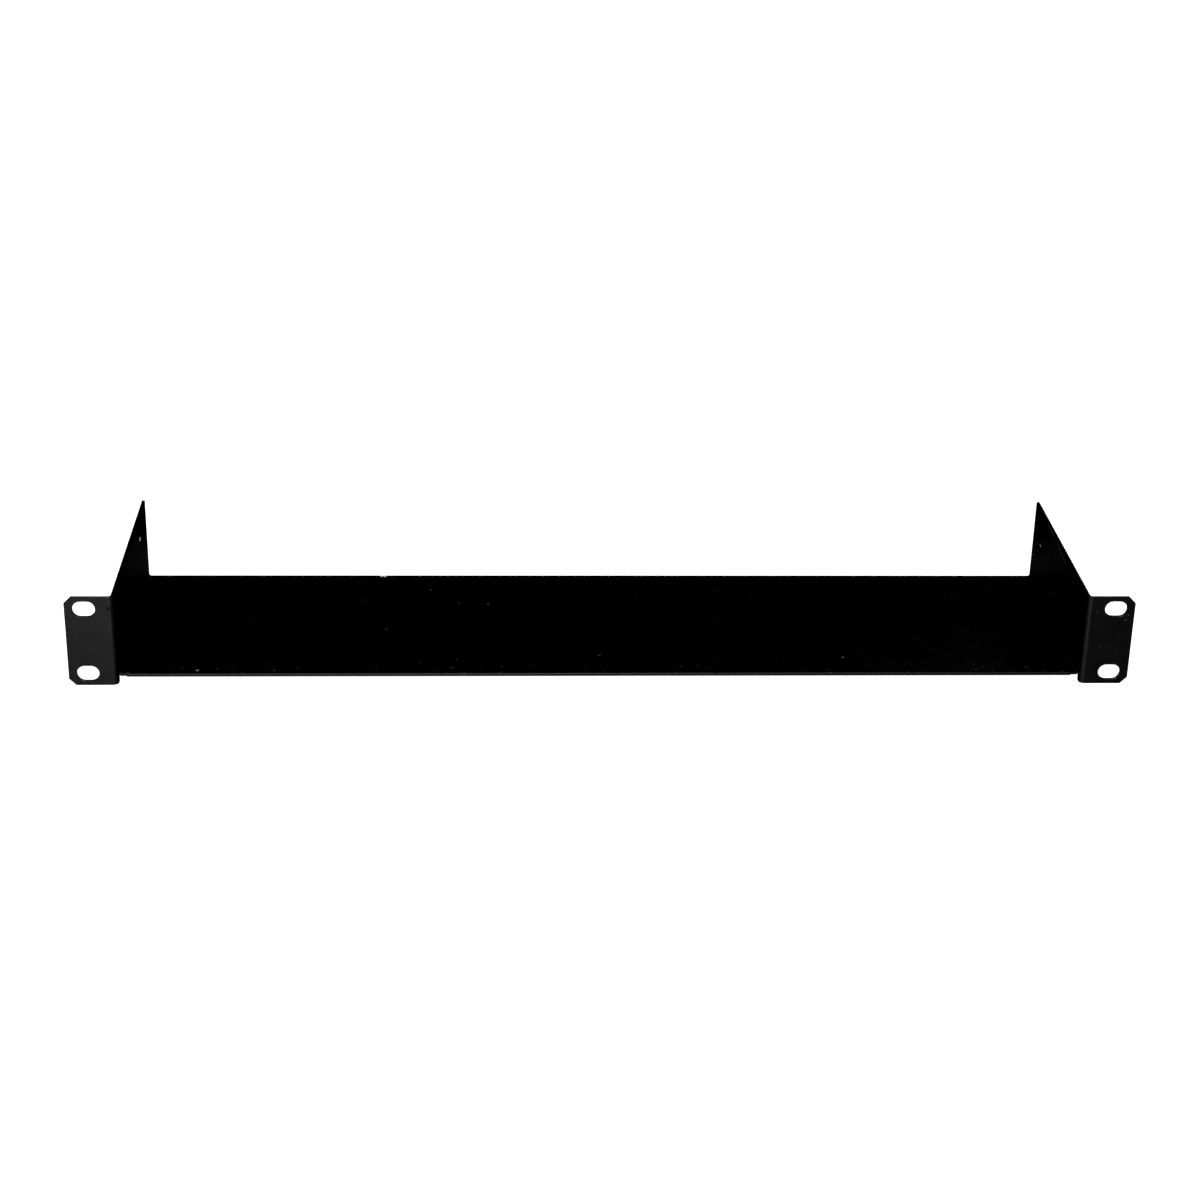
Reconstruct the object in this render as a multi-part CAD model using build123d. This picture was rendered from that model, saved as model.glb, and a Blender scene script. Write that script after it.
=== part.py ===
"""Shallow one-unit tray for a 19-inch equipment rack, folded from one steel sheet.

A flat floor carries two side walls folded up, and the front end of each wall is folded outwards
into a slotted ear that bolts to the rack's rail. Millimetres; +X to the right, +Y to the rear,
+Z up. The origin is the centre of the four ear slots, in the plane of the ears' rear faces,
which is the plane that lies against the rails.
"""

from build123d import *
import math
import os

# Rack panel: the two ears, as seen from the front. Slot centres are measured in from the ear's
# outer end and from its upper or lower edge.
PANEL_WIDTH = 482.6
PANEL_HEIGHT = 43.65
EAR_WIDTH = 22.15
EAR_CHAMFER = 3.2
SLOT_FROM_END = 8.75
SLOT_FROM_EDGE = 5.95
SLOT_LENGTH = 10.1
SLOT_HEIGHT = 7.3

# Sheet and its folds. The neutral line's depth is a share of the sheet, from the inside.
SHEET = 1.5
BEND_RADIUS = 1.0
NEUTRAL_LINE = 0.42

# Tray: its depth behind the mounting plane, the floor's height above the ears' lower edges, and
# how far behind the ears' folds the floor starts.
TRAY_DEPTH = 112.8
FLOOR_RISE = 2.1
FLOOR_SETBACK = 1.7

# Bend relief where floor, wall and ear meet: the tab is the strip that each ear keeps behind its
# fold, and the relief gap parts it from the floor's fold.
TAB_LAND = 1.4
TAB_CORNER_RADIUS = 1.2
RELIEF_GAP = 1.3
RELIEF_ABOVE_BEND = 0.2
NOTCH_CLEARANCE = 0.1

# Cut edges: corners of the blank, and the soft edge that deburring and the coating leave. The
# slots' rims and the relief are cut by laser, with a finer broken edge and a sharp one.
BLANK_CORNER_RADIUS = 0.6
EDGE_SOFTENING = 0.3
SLOT_RIM_CHAMFER = 0.25

# Places worked out from the sizes above.
HALF_PANEL = PANEL_WIDTH / 2
PANEL_TOP = PANEL_HEIGHT / 2
PANEL_BOTTOM = -PANEL_HEIGHT / 2
WALL_INNER = HALF_PANEL - EAR_WIDTH
WALL_OUTER = WALL_INNER + SHEET
BEND_OUTSIDE = BEND_RADIUS + SHEET
FLOOR_BOTTOM = PANEL_BOTTOM + FLOOR_RISE
FLOOR_TOP = FLOOR_BOTTOM + SHEET
FLOOR_BEND_TOP = FLOOR_BOTTOM + BEND_OUTSIDE
FLOOR_BEND_START = WALL_OUTER - BEND_OUTSIDE
FLOOR_FRONT = BEND_RADIUS + FLOOR_SETBACK
TAB_REAR = BEND_RADIUS + TAB_LAND
RELIEF_REAR = TAB_REAR + RELIEF_GAP

# In the flat blank the tab reaches past the floor's fold, so the floor's front corners are cut
# back by the tab's drop below the fold, less the length of sheet that the fold itself takes up.
BEND_ALLOWANCE = math.pi / 2 * (BEND_RADIUS + NEUTRAL_LINE * SHEET)
TAB_DROP = FLOOR_BEND_TOP - PANEL_BOTTOM
NOTCH_INNER = FLOOR_BEND_START - (TAB_DROP - BEND_ALLOWANCE) - NOTCH_CLEARANCE

# Cutters run past the faces that they cut by this much.
OVERRUN = 2.0
FROM_CORNER = (Align.MIN, Align.MIN)
FROM_BASE = (Align.CENTER, Align.MIN)

# Two faces whose normals differ by more than this meet in a cut edge, not in a smooth fold line.
CUT_EDGE_ANGLE = 60


def corner_edges(sheet, direction, *places):
    """Edges across the sheet's thickness, one at each of the given corners of the blank."""
    across = sheet.edges().filter_by(direction)
    return [across.sort_by_distance(place)[0] for place in places]


def cut_edges(sheet):
    """Edges where a cut face meets a face of the sheet, without the smooth lines of the folds."""
    faces = [(face, face.edges()) for face in sheet.faces()]
    found = ShapeList()
    for edge in sheet.edges():
        middle = edge @ 0.5
        first, second = [face.normal_at(middle) for face, edges in faces if edge in edges]
        if first.get_angle(second) > CUT_EDGE_ANGLE:
            found.append(edge)
    return found


def floor_and_walls():
    """Floor with both side walls folded up: a U section of even thickness.

    The walls' front corners end up inside the ears' legs, so that only the rear ones show.
    """
    height = PANEL_TOP - FLOOR_BOTTOM
    outside = Pos(0, FLOOR_BOTTOM) * Rectangle(2 * WALL_OUTER, height, align=FROM_BASE)
    inside = Pos(0, FLOOR_TOP) * Rectangle(2 * WALL_INNER, height, align=FROM_BASE)
    outside = fillet(outside.vertices().group_by(Axis.Y)[0], BEND_OUTSIDE)
    inside = fillet(inside.vertices().group_by(Axis.Y)[0], BEND_RADIUS)
    front = Plane.XZ.offset(-FLOOR_FRONT)
    channel = extrude(front * (outside - inside), FLOOR_FRONT - TRAY_DEPTH)
    corners = [(x, y, PANEL_TOP) for x in (-WALL_INNER, WALL_INNER) for y in (FLOOR_FRONT, TRAY_DEPTH)]
    channel = fillet(corner_edges(channel, Axis.X, *corners), BLANK_CORNER_RADIUS)
    return fillet(cut_edges(channel), EDGE_SOFTENING)


def ear_outline():
    """Right-hand ear with the wall's front end: an L section, as tall as the rack panel."""
    outside = Pos(WALL_INNER, -SHEET) * Rectangle(EAR_WIDTH, SHEET + RELIEF_REAR, align=FROM_CORNER)
    behind = Pos(WALL_OUTER, 0) * Rectangle(EAR_WIDTH, RELIEF_REAR, align=FROM_CORNER)
    fold_outside = outside.vertices().sort_by_distance((WALL_INNER, -SHEET, 0))[0]
    fold_inside = behind.vertices().sort_by_distance((WALL_OUTER, 0, 0))[0]
    section = fillet(fold_outside, BEND_OUTSIDE) - fillet(fold_inside, BEND_RADIUS)
    bracket = extrude(Plane.XY.offset(PANEL_BOTTOM) * section, PANEL_HEIGHT)
    ends = [(HALF_PANEL, 0, z) for z in (PANEL_BOTTOM, PANEL_TOP)]
    return chamfer(corner_edges(bracket, Axis.Y, *ends), EAR_CHAMFER)


def ear():
    """Right-hand ear with its edges softened and its two oval slots."""
    inboard = HALF_PANEL - EAR_CHAMFER
    inward = PANEL_TOP - EAR_CHAMFER
    kinks = [(inboard, 0, z) for z in (PANEL_BOTTOM, PANEL_TOP)]
    kinks += [(HALF_PANEL, 0, z) for z in (-inward, inward)]
    bracket = ear_outline()
    bracket = fillet(corner_edges(bracket, Axis.Y, *kinks), BLANK_CORNER_RADIUS)
    joined_end = bracket.faces().sort_by(Axis.Y)[-1].edges()
    bracket = fillet([edge for edge in cut_edges(bracket) if edge not in joined_end], EDGE_SOFTENING)
    slot = extrude(Plane.XZ * SlotOverall(SLOT_LENGTH, SLOT_HEIGHT), SHEET + OVERRUN, both=True)
    across = HALF_PANEL - SLOT_FROM_END
    up = PANEL_TOP - SLOT_FROM_EDGE
    slots = [Pos(across, 0, z) * slot for z in (-up, up)]
    rims = new_edges(bracket, *slots, combined=bracket - slots).filter_by(Plane.XZ)
    return chamfer(rims, SLOT_RIM_CHAMFER)


def bend_relief():
    """Cutter for the right-hand corner: the gap behind the tab, up through the floor's fold.

    The gap's upper end is round, and at its foot it rounds the tab's lower corner. Inwards it
    reaches to the end of the notch that it leaves in the floor's front edge.
    """
    top = FLOOR_BEND_TOP + RELIEF_ABOVE_BEND
    low = PANEL_BOTTOM - OVERRUN
    gap = Pos(TAB_REAR, low) * Rectangle(RELIEF_GAP, top - low, align=FROM_CORNER)
    round_end = Pos(TAB_REAR + RELIEF_GAP / 2, top) * Circle(RELIEF_GAP / 2)
    corner_height = TAB_CORNER_RADIUS + PANEL_BOTTOM - low
    corner_start = TAB_REAR - TAB_CORNER_RADIUS
    corner = Pos(corner_start, low) * Rectangle(TAB_CORNER_RADIUS, corner_height, align=FROM_CORNER)
    rounding = Pos(corner_start, PANEL_BOTTOM + TAB_CORNER_RADIUS) * Circle(TAB_CORNER_RADIUS)
    profile = gap + round_end + (corner - rounding)
    return extrude(Plane.YZ.offset(NOTCH_INNER) * profile, WALL_OUTER + OVERRUN - NOTCH_INNER)


def rack_tray():
    """The whole tray, one folded sheet."""
    right_ear = ear()
    right_relief = bend_relief()
    sheet = floor_and_walls() + right_ear + mirror(right_ear, Plane.YZ)
    return sheet - right_relief - mirror(right_relief, Plane.YZ)


os.makedirs("parts", exist_ok=True)
export_step(rack_tray(), "parts/rack_tray.step")
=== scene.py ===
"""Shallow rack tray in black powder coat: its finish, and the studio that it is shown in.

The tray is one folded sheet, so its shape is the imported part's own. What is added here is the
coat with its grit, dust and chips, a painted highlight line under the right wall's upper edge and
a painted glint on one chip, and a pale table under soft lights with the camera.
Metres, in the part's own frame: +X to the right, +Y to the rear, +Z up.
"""

from collections import namedtuple
import math

import bpy
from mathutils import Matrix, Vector


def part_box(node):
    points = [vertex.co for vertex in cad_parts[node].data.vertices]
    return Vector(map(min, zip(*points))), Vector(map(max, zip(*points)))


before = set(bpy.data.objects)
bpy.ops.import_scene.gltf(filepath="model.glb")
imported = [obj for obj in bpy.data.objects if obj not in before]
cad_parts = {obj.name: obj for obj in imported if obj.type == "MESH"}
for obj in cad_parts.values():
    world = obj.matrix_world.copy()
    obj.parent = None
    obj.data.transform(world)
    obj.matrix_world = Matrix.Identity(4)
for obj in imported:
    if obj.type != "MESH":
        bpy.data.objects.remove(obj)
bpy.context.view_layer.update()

bl_info = {
    "name": "Rack tray finish",
    "version": (1, 0, 0),
    "blender": (4, 5, 0),
    "location": "3D View > Sidebar > Rack tray",
    "description": "Gives a folded rack tray its powder coat, and sets it in a plain studio",
    "category": "Object",
}

TRAY = "rack_tray"
LOW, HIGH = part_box(TRAY)
MM = 0.001

# Sockets of a Mix node, for colours and for plain numbers.
COLOUR_A, COLOUR_B, COLOUR_RESULT = 6, 7, 2
NUMBER_A, NUMBER_B, NUMBER_RESULT = 2, 3, 0

# Sizes of the folded sheet in millimetres, and faces worked out with them from the frame's box:
# the ears' fronts, the rear edges, the floor's top and the walls' inner faces.
SHEET = 1.5
FLOOR_RISE = 2.1
EAR_WIDTH = 22.15
EAR_FRONT = LOW.y / MM
REAR = HIGH.y / MM
FLOOR = LOW.z / MM + FLOOR_RISE + SHEET
WALL = HIGH.x / MM - EAR_WIDTH

# One small mark on the coat: its place and half its size along X, Y and Z in millimetres, how
# densely it covers the coat, and its turn about X in degrees.
Mark = namedtuple("Mark", "place half cover turn", defaults=(1.0, 0.0))

# Where the coat has chipped off: twice beside each other on the floor's rear edge, and a small
# fleck high on the left wall. That fleck's near-white primer is partly a painted highlight: it
# stands in for a glint that the lamps don't give it.
CHIPS_AND_PAINTED_GLINT = (
    Mark((-104.9, REAR, FLOOR), (0.95, 2.4, 1.2)),
    Mark((-103.2, REAR, FLOOR), (0.8, 2.9, 1.2)),
    # Painted highlight: the left wall's fleck, drawn near-white to stand in for a glint.
    Mark((-WALL, 88.6, 11.5), (0.6, 2.3, 0.95)),
)

# Grains of dust and lint that lie or cling by themselves: on the floor, on the right wall and on
# the right ear. The last two marks are a painted highlight, not a scratch: a faint pale line under
# the right wall's upper edge, standing for the reflection of its rounded top edge.
GRAINS_AND_SHEEN_LINE = (
    Mark((-184.6, 6.3, FLOOR), (0.7, 0.6, 0.5)),
    Mark((-149.8, 6.2, FLOOR), (0.6, 0.6, 0.5), 0.25),
    Mark((-69.1, 8.8, FLOOR), (0.7, 0.6, 0.5), 0.25),
    Mark((-67.0, 17.2, FLOOR), (0.6, 0.6, 0.5), 0.2),
    Mark((-46.3, 9.9, FLOOR), (0.6, 0.6, 0.5), 0.2),
    Mark((-0.8, 21.5, FLOOR), (0.6, 0.7, 0.5), 0.3),
    Mark((112.3, 19.0, FLOOR), (0.6, 0.8, 0.5), 0.4),
    Mark((-100.3, 50.0, FLOOR), (0.6, 0.9, 0.5), 0.25),
    Mark((-66.4, 79.4, FLOOR), (0.5, 0.9, 0.5), 0.25),
    Mark((-52.3, 78.5, FLOOR), (0.6, 0.9, 0.5), 0.25),
    Mark((-80.5, 95.0, FLOOR), (0.6, 0.9, 0.5), 0.2),
    Mark((WALL, 95.7, 5.4), (0.5, 1.6, 0.45)),
    Mark((WALL, 60.3, -4.0), (0.5, 1.4, 0.4), 0.35),
    Mark((224.0, EAR_FRONT, 14.4), (0.35, 0.5, 0.35), 0.1),
    Mark((237.5, EAR_FRONT, 10.4), (0.45, 0.5, 0.4), 0.1),
    Mark((238.3, EAR_FRONT, 12.8), (0.5, 0.5, 0.3), 0.1),
    Mark((226.9, EAR_FRONT, -2.9), (0.35, 0.5, 0.35), 0.06),
    # Painted highlight: a faint pale line in two pieces under the right wall's upper edge, for the
    # reflection of its rounded top edge.
    Mark((WALL, 76.5, 21.0), (0.5, 10.0, 0.22), 0.2),
    Mark((WALL, 54.5, 19.3), (0.5, 11.5, 0.22), 0.2, 6.0),
)

# Rear edge of the right wall, where rubbing has left pale points in the coat.
RUBBED_EDGE = Mark((WALL + SHEET / 2, REAR, -4.0), (1.2, 0.8, 13.0), 0.3)

# Two spots on the left ear that rubbing has polished, and an upright streak on the left wall
# that it has dulled.
POLISHED = (
    Mark((-221.6, EAR_FRONT, 16.2), (0.9, 0.5, 1.0)),
    Mark((-223.8, EAR_FRONT, 17.1), (0.8, 0.5, 0.7), 0.5),
)
DULLED = (Mark((-WALL, 61.7, 8.2), (0.5, 1.7, 2.6)),)

# A mark is solid out to this share of its size and fades from there. Its rim is ragged, with bays
# this wide and up to half this deep, in metres.
SOLID_SHARE = 0.75
RIM_BAY = 0.7 * MM
RIM_DEPTH = 0.9 * MM

# Fallen dust: a grain's radius, the stretch in Y over which the dust thins out, how many times
# fewer grains lie behind it, and how densely the faintest and the strongest grain cover the coat.
DUST_RADIUS = 0.5 * MM
THINNING_START, THINNING_END = 8 * MM, 16 * MM
THINNING = 40
FAINT_COVER, STRONG_COVER = 0.1, 0.3

# Heights of a pattern, from 0 to 1: where the rubbed edge's points start and are full, and where
# the clouds are glossiest and dullest.
POINT_START, POINT_FULL = 0.56, 0.66
CLOUD_GLOSSY, CLOUD_DULL = 0.3, 0.7

# How strongly the relief shows in the waves and in the grain, and the step down into a chip.
WAVE_STRENGTH = 0.4
GRAIN_STRENGTH = 0.8
CHIP_STEP = 0.08 * MM

# Mirror strength of the polyester, a little under the usual, and the acrylic's dull surface.
COAT_SPECULAR = 0.4
OPAL_ROUGHNESS = 0.7

# A flat lamp: its place, the point that it faces, its width and its height, in metres. Its power
# is the studio setting of the same name.
Lamp = namedtuple("Lamp", "setting place target width height")
LAMPS = (
    Lamp("key", (-0.14, -0.552, 0.06), (0, 0, 0), 0.3, 0.12),
    Lamp("edge", (-0.05, -0.68, 0.85), (0, 0, 0), 0.3, 0.3),
    Lamp("card", (0, 0.14, LOW.z + MM), (0, 0.14, 1), 0.46, 0.05),
    Lamp("rear", (-0.9, 1.1, 1.0), (0, 0, 0), 0.4, 0.4),
    Lamp("rear", (0.9, 1.1, 1.0), (0, 0, 0), 0.4, 0.4),
    Lamp("side", (-0.9, 0.055, 0), (0, 0.055, 0), 0.06, 0.03),
    Lamp("side", (0.9, 0.055, 0), (0, 0.055, 0), 0.06, 0.03),
)

# The camera, as found from the photo: its place in metres, its turn in degrees, and its lens and
# film width in millimetres.
CAMERA_PLACE = (-0.055771, -0.999137, 0.476563)
CAMERA_TURN = (65.4577, -1.1489, -2.5362)
CAMERA_LENS = 73.3965
FILM_WIDTH = 36

# Width of the table, in metres.
TABLE_WIDTH = 30


def linear(code):
    """Linear colour from an sRGB hex code such as 1a1a1a."""
    shares = [int(code[i:i + 2], 16) / 255 for i in (0, 2, 4)]
    return [s / 12.92 if s <= 0.04045 else ((s + 0.055) / 1.055) ** 2.4 for s in shares]


def add_node(tree, kind, links=(), inputs=(), **settings):
    """A node with its settings, the values of its sockets, and links into it."""
    node = tree.nodes.new(kind)
    for name, value in settings.items():
        setattr(node, name, value)
    for socket, value in dict(inputs).items():
        node.inputs[socket].default_value = value
    for socket, source in dict(links).items():
        tree.links.new(source, node.inputs[socket])
    return node


class CoatSettings(bpy.types.PropertyGroup):
    """The powder coat's colours, gloss and grain, the dust and primer that show on it, and the painted
    highlights drawn in their colours.
    """

    colour: bpy.props.FloatVectorProperty(
        name="Coat colour", description="Colour of the baked powder",
        subtype="COLOR", size=3, min=0, max=1, default=linear("030303"))
    thin_colour: bpy.props.FloatVectorProperty(
        name="Thin coat colour", description="Colour of the coat where it is thinnest",
        subtype="COLOR", size=3, min=0, max=1, default=linear("070707"))
    # The dust colour also paints the pale line under the right wall's upper edge, a painted highlight.
    dust_and_sheen_colour: bpy.props.FloatVectorProperty(
        name="Dust colour", description="Colour of dust and lint",
        subtype="COLOR", size=3, min=0, max=1, default=linear("8C8A86"))
    # The primer colour also paints the glint on the left wall's fleck, a painted highlight.
    primer_and_glint_colour: bpy.props.FloatVectorProperty(
        name="Primer colour", description="Colour of the primer that chips lay bare",
        subtype="COLOR", size=3, min=0, max=1, default=linear("F0EEE8"))
    roughness: bpy.props.FloatProperty(
        name="Roughness", description="Roughness of the satin coat",
        subtype="FACTOR", min=0.1, max=1, default=0.5)
    clouding: bpy.props.FloatProperty(
        name="Clouding", description="How much the roughness rises and falls between patches",
        subtype="FACTOR", min=0, max=0.2, default=0.02)
    polish: bpy.props.FloatProperty(
        name="Polished roughness", description="Roughness where rubbing has polished the coat",
        subtype="FACTOR", min=0.1, max=1, default=0.3)
    dulled: bpy.props.FloatProperty(
        name="Dulled roughness", description="Roughness where the coat is rubbed dull or chipped",
        subtype="FACTOR", min=0.1, max=1, default=0.85)
    relief: bpy.props.FloatProperty(
        name="Relief", description="Height of the coat's waves and grain",
        subtype="DISTANCE", unit="LENGTH", min=0, max=0.001, default=0.055 * MM)
    grit: bpy.props.FloatProperty(
        name="Grit", description="Size of the coat's fine grain",
        subtype="DISTANCE", unit="LENGTH", min=0.0001, max=0.005, default=1.1 * MM)
    peel: bpy.props.FloatProperty(
        name="Orange peel", description="Width of the slow waves that the melted powder leaves",
        subtype="DISTANCE", unit="LENGTH", min=0.0005, max=0.02, default=2.2 * MM)
    cloud: bpy.props.FloatProperty(
        name="Cloud", description="Width of the patches where the powder went on thicker",
        subtype="DISTANCE", unit="LENGTH", min=0.001, max=0.1, default=7 * MM)
    dust_spacing: bpy.props.FloatProperty(
        name="Dust spacing", description="Distance between places where a grain of dust may lie",
        subtype="DISTANCE", unit="LENGTH", min=0.001, max=0.05, default=4 * MM)
    dust_share: bpy.props.FloatProperty(
        name="Dust share", description="Share of those places that hold a grain, near the front",
        subtype="FACTOR", min=0, max=1, default=0.15)


class StudioSettings(bpy.types.PropertyGroup):
    """The light table, the lamps and the room, and the picture's blacks."""

    table: bpy.props.FloatVectorProperty(
        name="Table colour", description="Colour of the pale light table",
        subtype="COLOR", size=3, min=0, max=1, default=linear("F4F4F2"))
    glow: bpy.props.FloatProperty(
        name="Table glow", description="Brightness of the lamps inside the table",
        min=0, max=5, default=1.15)
    key: bpy.props.FloatProperty(
        name="Key light", description="Power of the low soft light in front, left of the middle",
        subtype="POWER", unit="POWER", min=0, max=1000, default=2.2)
    edge: bpy.props.FloatProperty(
        name="Edge light", description="Power of the light above the front, which rounded edges mirror",
        subtype="POWER", unit="POWER", min=0, max=1000, default=9)
    card: bpy.props.FloatProperty(
        name="Card", description="Power of the faint strip behind the tray, which the walls mirror",
        subtype="POWER", unit="POWER", min=0, max=1, default=0.0025)
    rear: bpy.props.FloatProperty(
        name="Rear lights", description="Power of each of the two lights high behind the tray",
        subtype="POWER", unit="POWER", min=0, max=1000, default=0.5)
    side: bpy.props.FloatProperty(
        name="Side lights", description="Power of each of the two low lights beside the walls",
        subtype="POWER", unit="POWER", min=0, max=1000, default=0.5)
    black_point: bpy.props.FloatProperty(
        name="Black point", description="Brightness below which the picture is plain black",
        min=0, max=0.1, default=0.0045)
    backdrop: bpy.props.FloatProperty(
        name="Backdrop", description="Brightness of the backdrop that the camera sees",
        min=0, max=1, default=0.95)
    ambient: bpy.props.FloatProperty(
        name="Ambient light", description="Brightness of the dark room, which the tray mirrors",
        min=0, max=1, default=0.002)


def new_material(name):
    """An empty material of that name, and its node tree."""
    material = bpy.data.materials.new(name)
    material.use_nodes = True
    material.node_tree.nodes.clear()
    return material, material.node_tree


def marked(tree, place, marks):
    """Mask of the marks: 1 or less, by how densely each covers the coat, and 0 elsewhere."""
    mask = None
    for mark in marks:
        near = add_node(tree, "ShaderNodeMapping", {"Vector": place}, {
            "Location": [p * MM for p in mark.place], "Rotation": (math.radians(mark.turn), 0, 0),
            "Scale": [h * MM for h in mark.half]}, vector_type="TEXTURE")
        far = add_node(tree, "ShaderNodeVectorMath", {0: near.outputs[0]}, operation="LENGTH")
        cover = add_node(tree, "ShaderNodeMapRange", {"Value": far.outputs["Value"]}, {
            "From Min": 1.0, "From Max": SOLID_SHARE, "To Max": mark.cover}).outputs["Result"]
        if mask:
            cover = add_node(tree, "ShaderNodeMath", {0: mask, 1: cover},
                             operation="MAXIMUM").outputs[0]
        mask = cover
    return mask


def ragged(tree, place):
    """The place pushed about by up to half of the rim's depth, so that a mark's rim is ragged."""
    noise = add_node(tree, "ShaderNodeTexNoise", {"Vector": place}, {"Scale": 1 / RIM_BAY})
    middle = add_node(tree, "ShaderNodeVectorMath", {0: noise.outputs["Color"]},
                      {1: (0.5, 0.5, 0.5)}, operation="SUBTRACT")
    return add_node(tree, "ShaderNodeVectorMath", {0: middle.outputs[0], 2: place},
                    {1: (RIM_DEPTH, RIM_DEPTH, RIM_DEPTH)}, operation="MULTIPLY_ADD").outputs[0]


def fallen_dust(tree, coordinates, settings):
    """Mask of the grains strewn over all that faces up, most of them near the floor's front.

    The tray is cut into cells by the dust's spacing, seen from above. Each cell has one random
    point and random numbers, which settle whether a grain lies there and how strongly it shows.
    """
    place = coordinates.outputs["Object"]
    spots = add_node(tree, "ShaderNodeTexVoronoi", {"Vector": place},
                     {"Scale": 1 / settings.dust_spacing}, voronoi_dimensions="2D")
    radius = DUST_RADIUS / settings.dust_spacing
    round_spot = add_node(tree, "ShaderNodeMapRange", {"Value": spots.outputs["Distance"]}, {
        "From Min": radius, "From Max": radius / 2})
    chance = add_node(tree, "ShaderNodeSeparateColor", {0: spots.outputs["Color"]})
    back = add_node(tree, "ShaderNodeSeparateXYZ", {0: place})
    share = add_node(tree, "ShaderNodeMapRange", {"Value": back.outputs["Y"]}, {
        "From Min": THINNING_START, "From Max": THINNING_END,
        "To Min": settings.dust_share, "To Max": settings.dust_share / THINNING})
    chosen = add_node(tree, "ShaderNodeMath", {0: chance.outputs[0], 1: share.outputs["Result"]},
                      operation="LESS_THAN")
    upward = add_node(tree, "ShaderNodeSeparateXYZ", {0: coordinates.outputs["Normal"]})
    cover = add_node(tree, "ShaderNodeMapRange", {"Value": chance.outputs[1]},
                     {"To Min": FAINT_COVER, "To Max": STRONG_COVER})
    mask = cover.outputs["Result"]
    for part in (round_spot.outputs["Result"], chosen.outputs[0], upward.outputs["Z"]):
        mask = add_node(tree, "ShaderNodeMath", {0: mask, 1: part}, operation="MULTIPLY",
                        use_clamp=True).outputs[0]
    return mask


def dust_and_painted_sheen(tree, coordinates, rim, grain, settings):
    """Mask of the fallen dust, the single grains, the painted highlight line under the right wall's
    upper edge, and the pale points on the rubbed edge.
    """
    edge = marked(tree, coordinates.outputs["Object"], [RUBBED_EDGE])
    points = add_node(tree, "ShaderNodeMapRange", {"Value": grain},
                      {"From Min": POINT_START, "From Max": POINT_FULL}).outputs["Result"]
    rubbed = add_node(tree, "ShaderNodeMath", {0: points, 1: edge}, operation="MULTIPLY").outputs[0]
    dust = fallen_dust(tree, coordinates, settings)
    # The listed grains include the painted highlight line under the right wall's upper edge.
    for layer in (marked(tree, rim, GRAINS_AND_SHEEN_LINE), rubbed):
        dust = add_node(tree, "ShaderNodeMath", {0: dust, 1: layer}, operation="MAXIMUM").outputs[0]
    return dust


def coat_colour(tree, cloud, dust, chips, settings):
    """Colour from the thick to the thin coat, then dust and a painted highlight line over it, then the
    primer in the chips and in a painted glint.
    """
    colour = add_node(tree, "ShaderNodeMix", {"Factor": cloud},
                      {COLOUR_A: (*settings.colour, 1), COLOUR_B: (*settings.thin_colour, 1)},
                      data_type="RGBA")
    # The dust mask carries a painted highlight line and the chips mask a painted glint on the left
    # wall.
    for mask, layer in ((dust, settings.dust_and_sheen_colour), (chips, settings.primer_and_glint_colour)):
        colour = add_node(tree, "ShaderNodeMix",
                          {"Factor": mask, COLOUR_A: colour.outputs[COLOUR_RESULT]},
                          {COLOUR_B: (*layer, 1)}, data_type="RGBA")
    return colour.outputs[COLOUR_RESULT]


def coat_roughness(tree, cloud, rim, chips, settings):
    """Roughness by the clouds, polished or dulled where the coat was rubbed, dull in the chips."""
    rough = add_node(tree, "ShaderNodeMapRange", {"Value": cloud}, {
        "From Min": CLOUD_GLOSSY, "From Max": CLOUD_DULL,
        "To Min": settings.roughness - settings.clouding,
        "To Max": settings.roughness + settings.clouding}).outputs["Result"]
    for mask, level in ((marked(tree, rim, POLISHED), settings.polish),
                        (marked(tree, rim, DULLED), settings.dulled), (chips, settings.dulled)):
        rough = add_node(tree, "ShaderNodeMix", {"Factor": mask, NUMBER_A: rough},
                         {NUMBER_B: level}).outputs[NUMBER_RESULT]
    return rough


def coat_relief(tree, peel, grain, chips, settings):
    """Normal of the slow waves, the grain on them, and the step down into a chip."""
    waves = add_node(tree, "ShaderNodeBump", {"Height": peel},
                     {"Strength": WAVE_STRENGTH, "Distance": settings.relief})
    grains = add_node(tree, "ShaderNodeBump", {"Height": grain, "Normal": waves.outputs[0]},
                      {"Strength": GRAIN_STRENGTH, "Distance": settings.relief})
    step = add_node(tree, "ShaderNodeBump", {"Height": chips, "Normal": grains.outputs[0]},
                    {"Distance": CHIP_STEP}, invert=True)
    return step.outputs[0]


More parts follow.
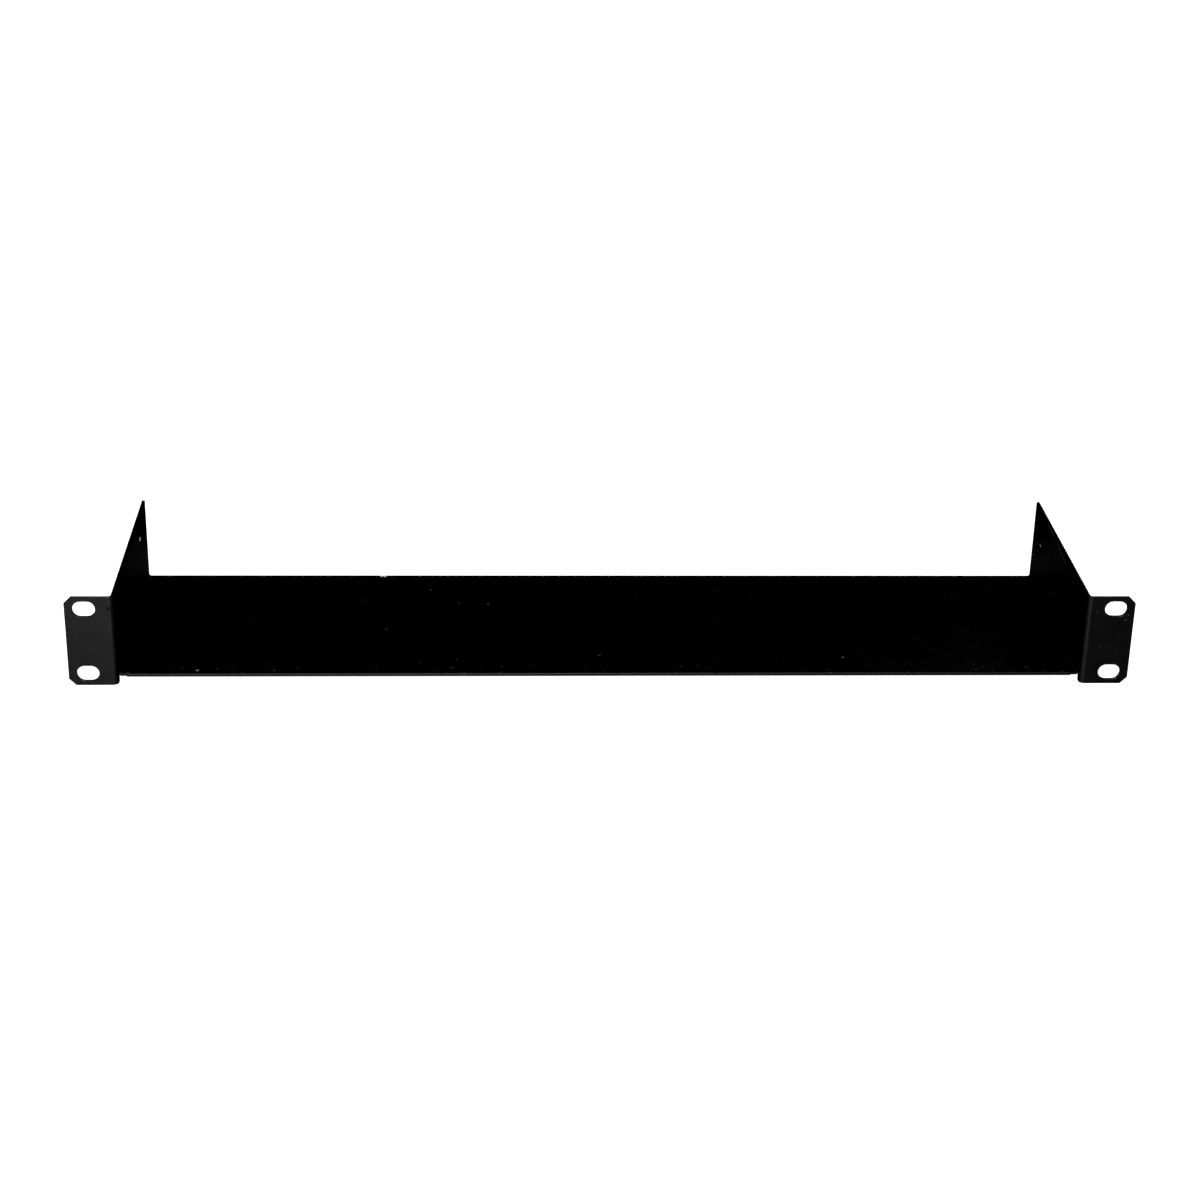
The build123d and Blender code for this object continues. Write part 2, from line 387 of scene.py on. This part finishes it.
def coat_material(settings):
    """Polyester powder coat, sprayed on dry and baked: black, satin, with a fine even grain.

    The powder melts into slow shallow waves and lies a little thicker in some patches, which
    gives the light on it its clouds. Dust and chips keep the scale of the real ones; a pale line
    among the dust and a fleck among the chips are painted highlights. The grain is
    drawn two to three times as coarse as it is, since a picture of the whole tray would lose it.
    """
    material, tree = new_material("black_polyester_powder_coat")
    coordinates = add_node(tree, "ShaderNodeTexCoord")
    place = coordinates.outputs["Object"]

    # Each pattern has its width, and a number of finer layers on top of it.
    grain, peel, cloud = [
        add_node(tree, "ShaderNodeTexNoise", {"Vector": place},
                 {"Scale": 1 / width, "Detail": layers}).outputs["Fac"]
        for width, layers in ((settings.grit, 2), (settings.peel, 1), (settings.cloud, 2))]

    rim = ragged(tree, place)
    # The chips hold a painted glint on the left wall, and the dust a painted highlight line under the
    # right wall's upper edge.
    chips = marked(tree, rim, CHIPS_AND_PAINTED_GLINT)
    dust = dust_and_painted_sheen(tree, coordinates, rim, grain, settings)
    shader = add_node(tree, "ShaderNodeBsdfPrincipled", {
        "Base Color": coat_colour(tree, cloud, dust, chips, settings),
        "Roughness": coat_roughness(tree, cloud, rim, chips, settings),
        "Normal": coat_relief(tree, peel, grain, chips, settings)},
        {"Specular IOR Level": COAT_SPECULAR})
    add_node(tree, "ShaderNodeOutputMaterial", {"Surface": shader.outputs[0]})
    return material


class OBJECT_OT_coat_tray(bpy.types.Operator):
    """Give the folded tray its powder coat"""

    bl_idname = "object.coat_tray"
    bl_label = "Coat the tray"

    def execute(self, context):
        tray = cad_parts[TRAY]
        tray.data.materials.clear()
        tray.data.materials.append(coat_material(context.scene.tray_coat))
        return {"FINISHED"}


def table_material(settings):
    """Opal acrylic, cast, over lamps: an even white with next to no shadow."""
    material, tree = new_material("opal_acrylic_light_table")
    colour = (*settings.table, 1)
    shader = add_node(tree, "ShaderNodeBsdfPrincipled", inputs={
        "Base Color": colour, "Roughness": OPAL_ROUGHNESS, "Specular IOR Level": 0,
        "Emission Color": colour, "Emission Strength": settings.glow})
    add_node(tree, "ShaderNodeOutputMaterial", {"Surface": shader.outputs[0]})
    return material


def add_table(settings):
    """The light table, which the coat doesn't mirror, as through a polarising filter."""
    bpy.ops.object.select_all(action="DESELECT")
    bpy.ops.mesh.primitive_plane_add(size=TABLE_WIDTH, location=(0, 0, LOW.z))
    table = bpy.context.object
    table.name = "table"
    table.data.materials.append(table_material(settings))
    table.visible_glossy = False


def add_lamp(lamp, power):
    """A soft flat lamp that the camera doesn't see."""
    bpy.ops.object.light_add(type="AREA", location=lamp.place)
    light = bpy.context.object
    light.name = lamp.setting
    light.data.shape = "RECTANGLE"
    light.data.size = lamp.width
    light.data.size_y = lamp.height
    light.data.energy = power
    light.visible_camera = False
    beam = Vector(lamp.target) - Vector(lamp.place)
    light.rotation_euler = beam.to_track_quat("-Z", "Y").to_euler()


def add_room(settings):
    """A dark room, which the tray mirrors, with a bright backdrop that only the camera sees."""
    world = bpy.data.worlds.new("studio")
    bpy.context.scene.world = world
    world.use_nodes = True
    tree = world.node_tree
    rays = add_node(tree, "ShaderNodeLightPath")
    seen = add_node(tree, "ShaderNodeMapRange", {"Value": rays.outputs["Is Camera Ray"]},
                    {"To Min": settings.ambient, "To Max": settings.backdrop})
    sky = tree.nodes["Background"]
    sky.inputs["Color"].default_value = (1, 1, 1, 1)
    tree.links.new(seen.outputs["Result"], sky.inputs["Strength"])


def add_camera():
    """The camera, where the photo was taken from."""
    turn = [math.radians(angle) for angle in CAMERA_TURN]
    bpy.ops.object.camera_add(location=CAMERA_PLACE, rotation=turn)
    camera = bpy.context.object
    camera.data.lens = CAMERA_LENS
    camera.data.sensor_width = FILM_WIDTH
    bpy.context.scene.camera = camera


def set_blacks(black_point):
    """Show all that is darker than the black point as plain black, as the photo does."""
    view = bpy.context.scene.view_settings
    view.view_transform = "Standard"
    view.use_curve_mapping = True
    view.curve_mapping.black_level = [black_point] * 3
    view.curve_mapping.update()


class OBJECT_OT_tray_studio(bpy.types.Operator):
    """Set up the pale table, the soft lights and the camera"""

    bl_idname = "object.tray_studio"
    bl_label = "Set up the studio"

    def execute(self, context):
        settings = context.scene.tray_studio
        add_table(settings)
        for lamp in LAMPS:
            add_lamp(lamp, getattr(settings, lamp.setting))
        add_room(settings)
        add_camera()
        set_blacks(settings.black_point)
        return {"FINISHED"}


class VIEW3D_PT_rack_tray(bpy.types.Panel):
    """Lists what makes up the picture of the tray."""

    bl_label = "Rack tray"
    bl_space_type = "VIEW_3D"
    bl_region_type = "UI"
    bl_category = "Rack tray"

    def draw(self, context):
        for operator, settings in STEPS:
            box = self.layout.box()
            group = getattr(context.scene, settings)
            for name in type(group).__annotations__:
                box.prop(group, name)
            box.operator(operator.bl_idname)


STEPS = ((OBJECT_OT_coat_tray, "tray_coat"), (OBJECT_OT_tray_studio, "tray_studio"))
CLASSES = (CoatSettings, StudioSettings, OBJECT_OT_coat_tray, OBJECT_OT_tray_studio,
           VIEW3D_PT_rack_tray)


def register():
    for cls in CLASSES:
        bpy.utils.register_class(cls)
    bpy.types.Scene.tray_coat = bpy.props.PointerProperty(type=CoatSettings)
    bpy.types.Scene.tray_studio = bpy.props.PointerProperty(type=StudioSettings)


def unregister():
    del bpy.types.Scene.tray_studio
    del bpy.types.Scene.tray_coat
    for cls in reversed(CLASSES):
        bpy.utils.unregister_class(cls)


def main():
    register()
    bpy.ops.object.coat_tray()
    bpy.ops.object.tray_studio()


if __name__ == "__main__":
    main()
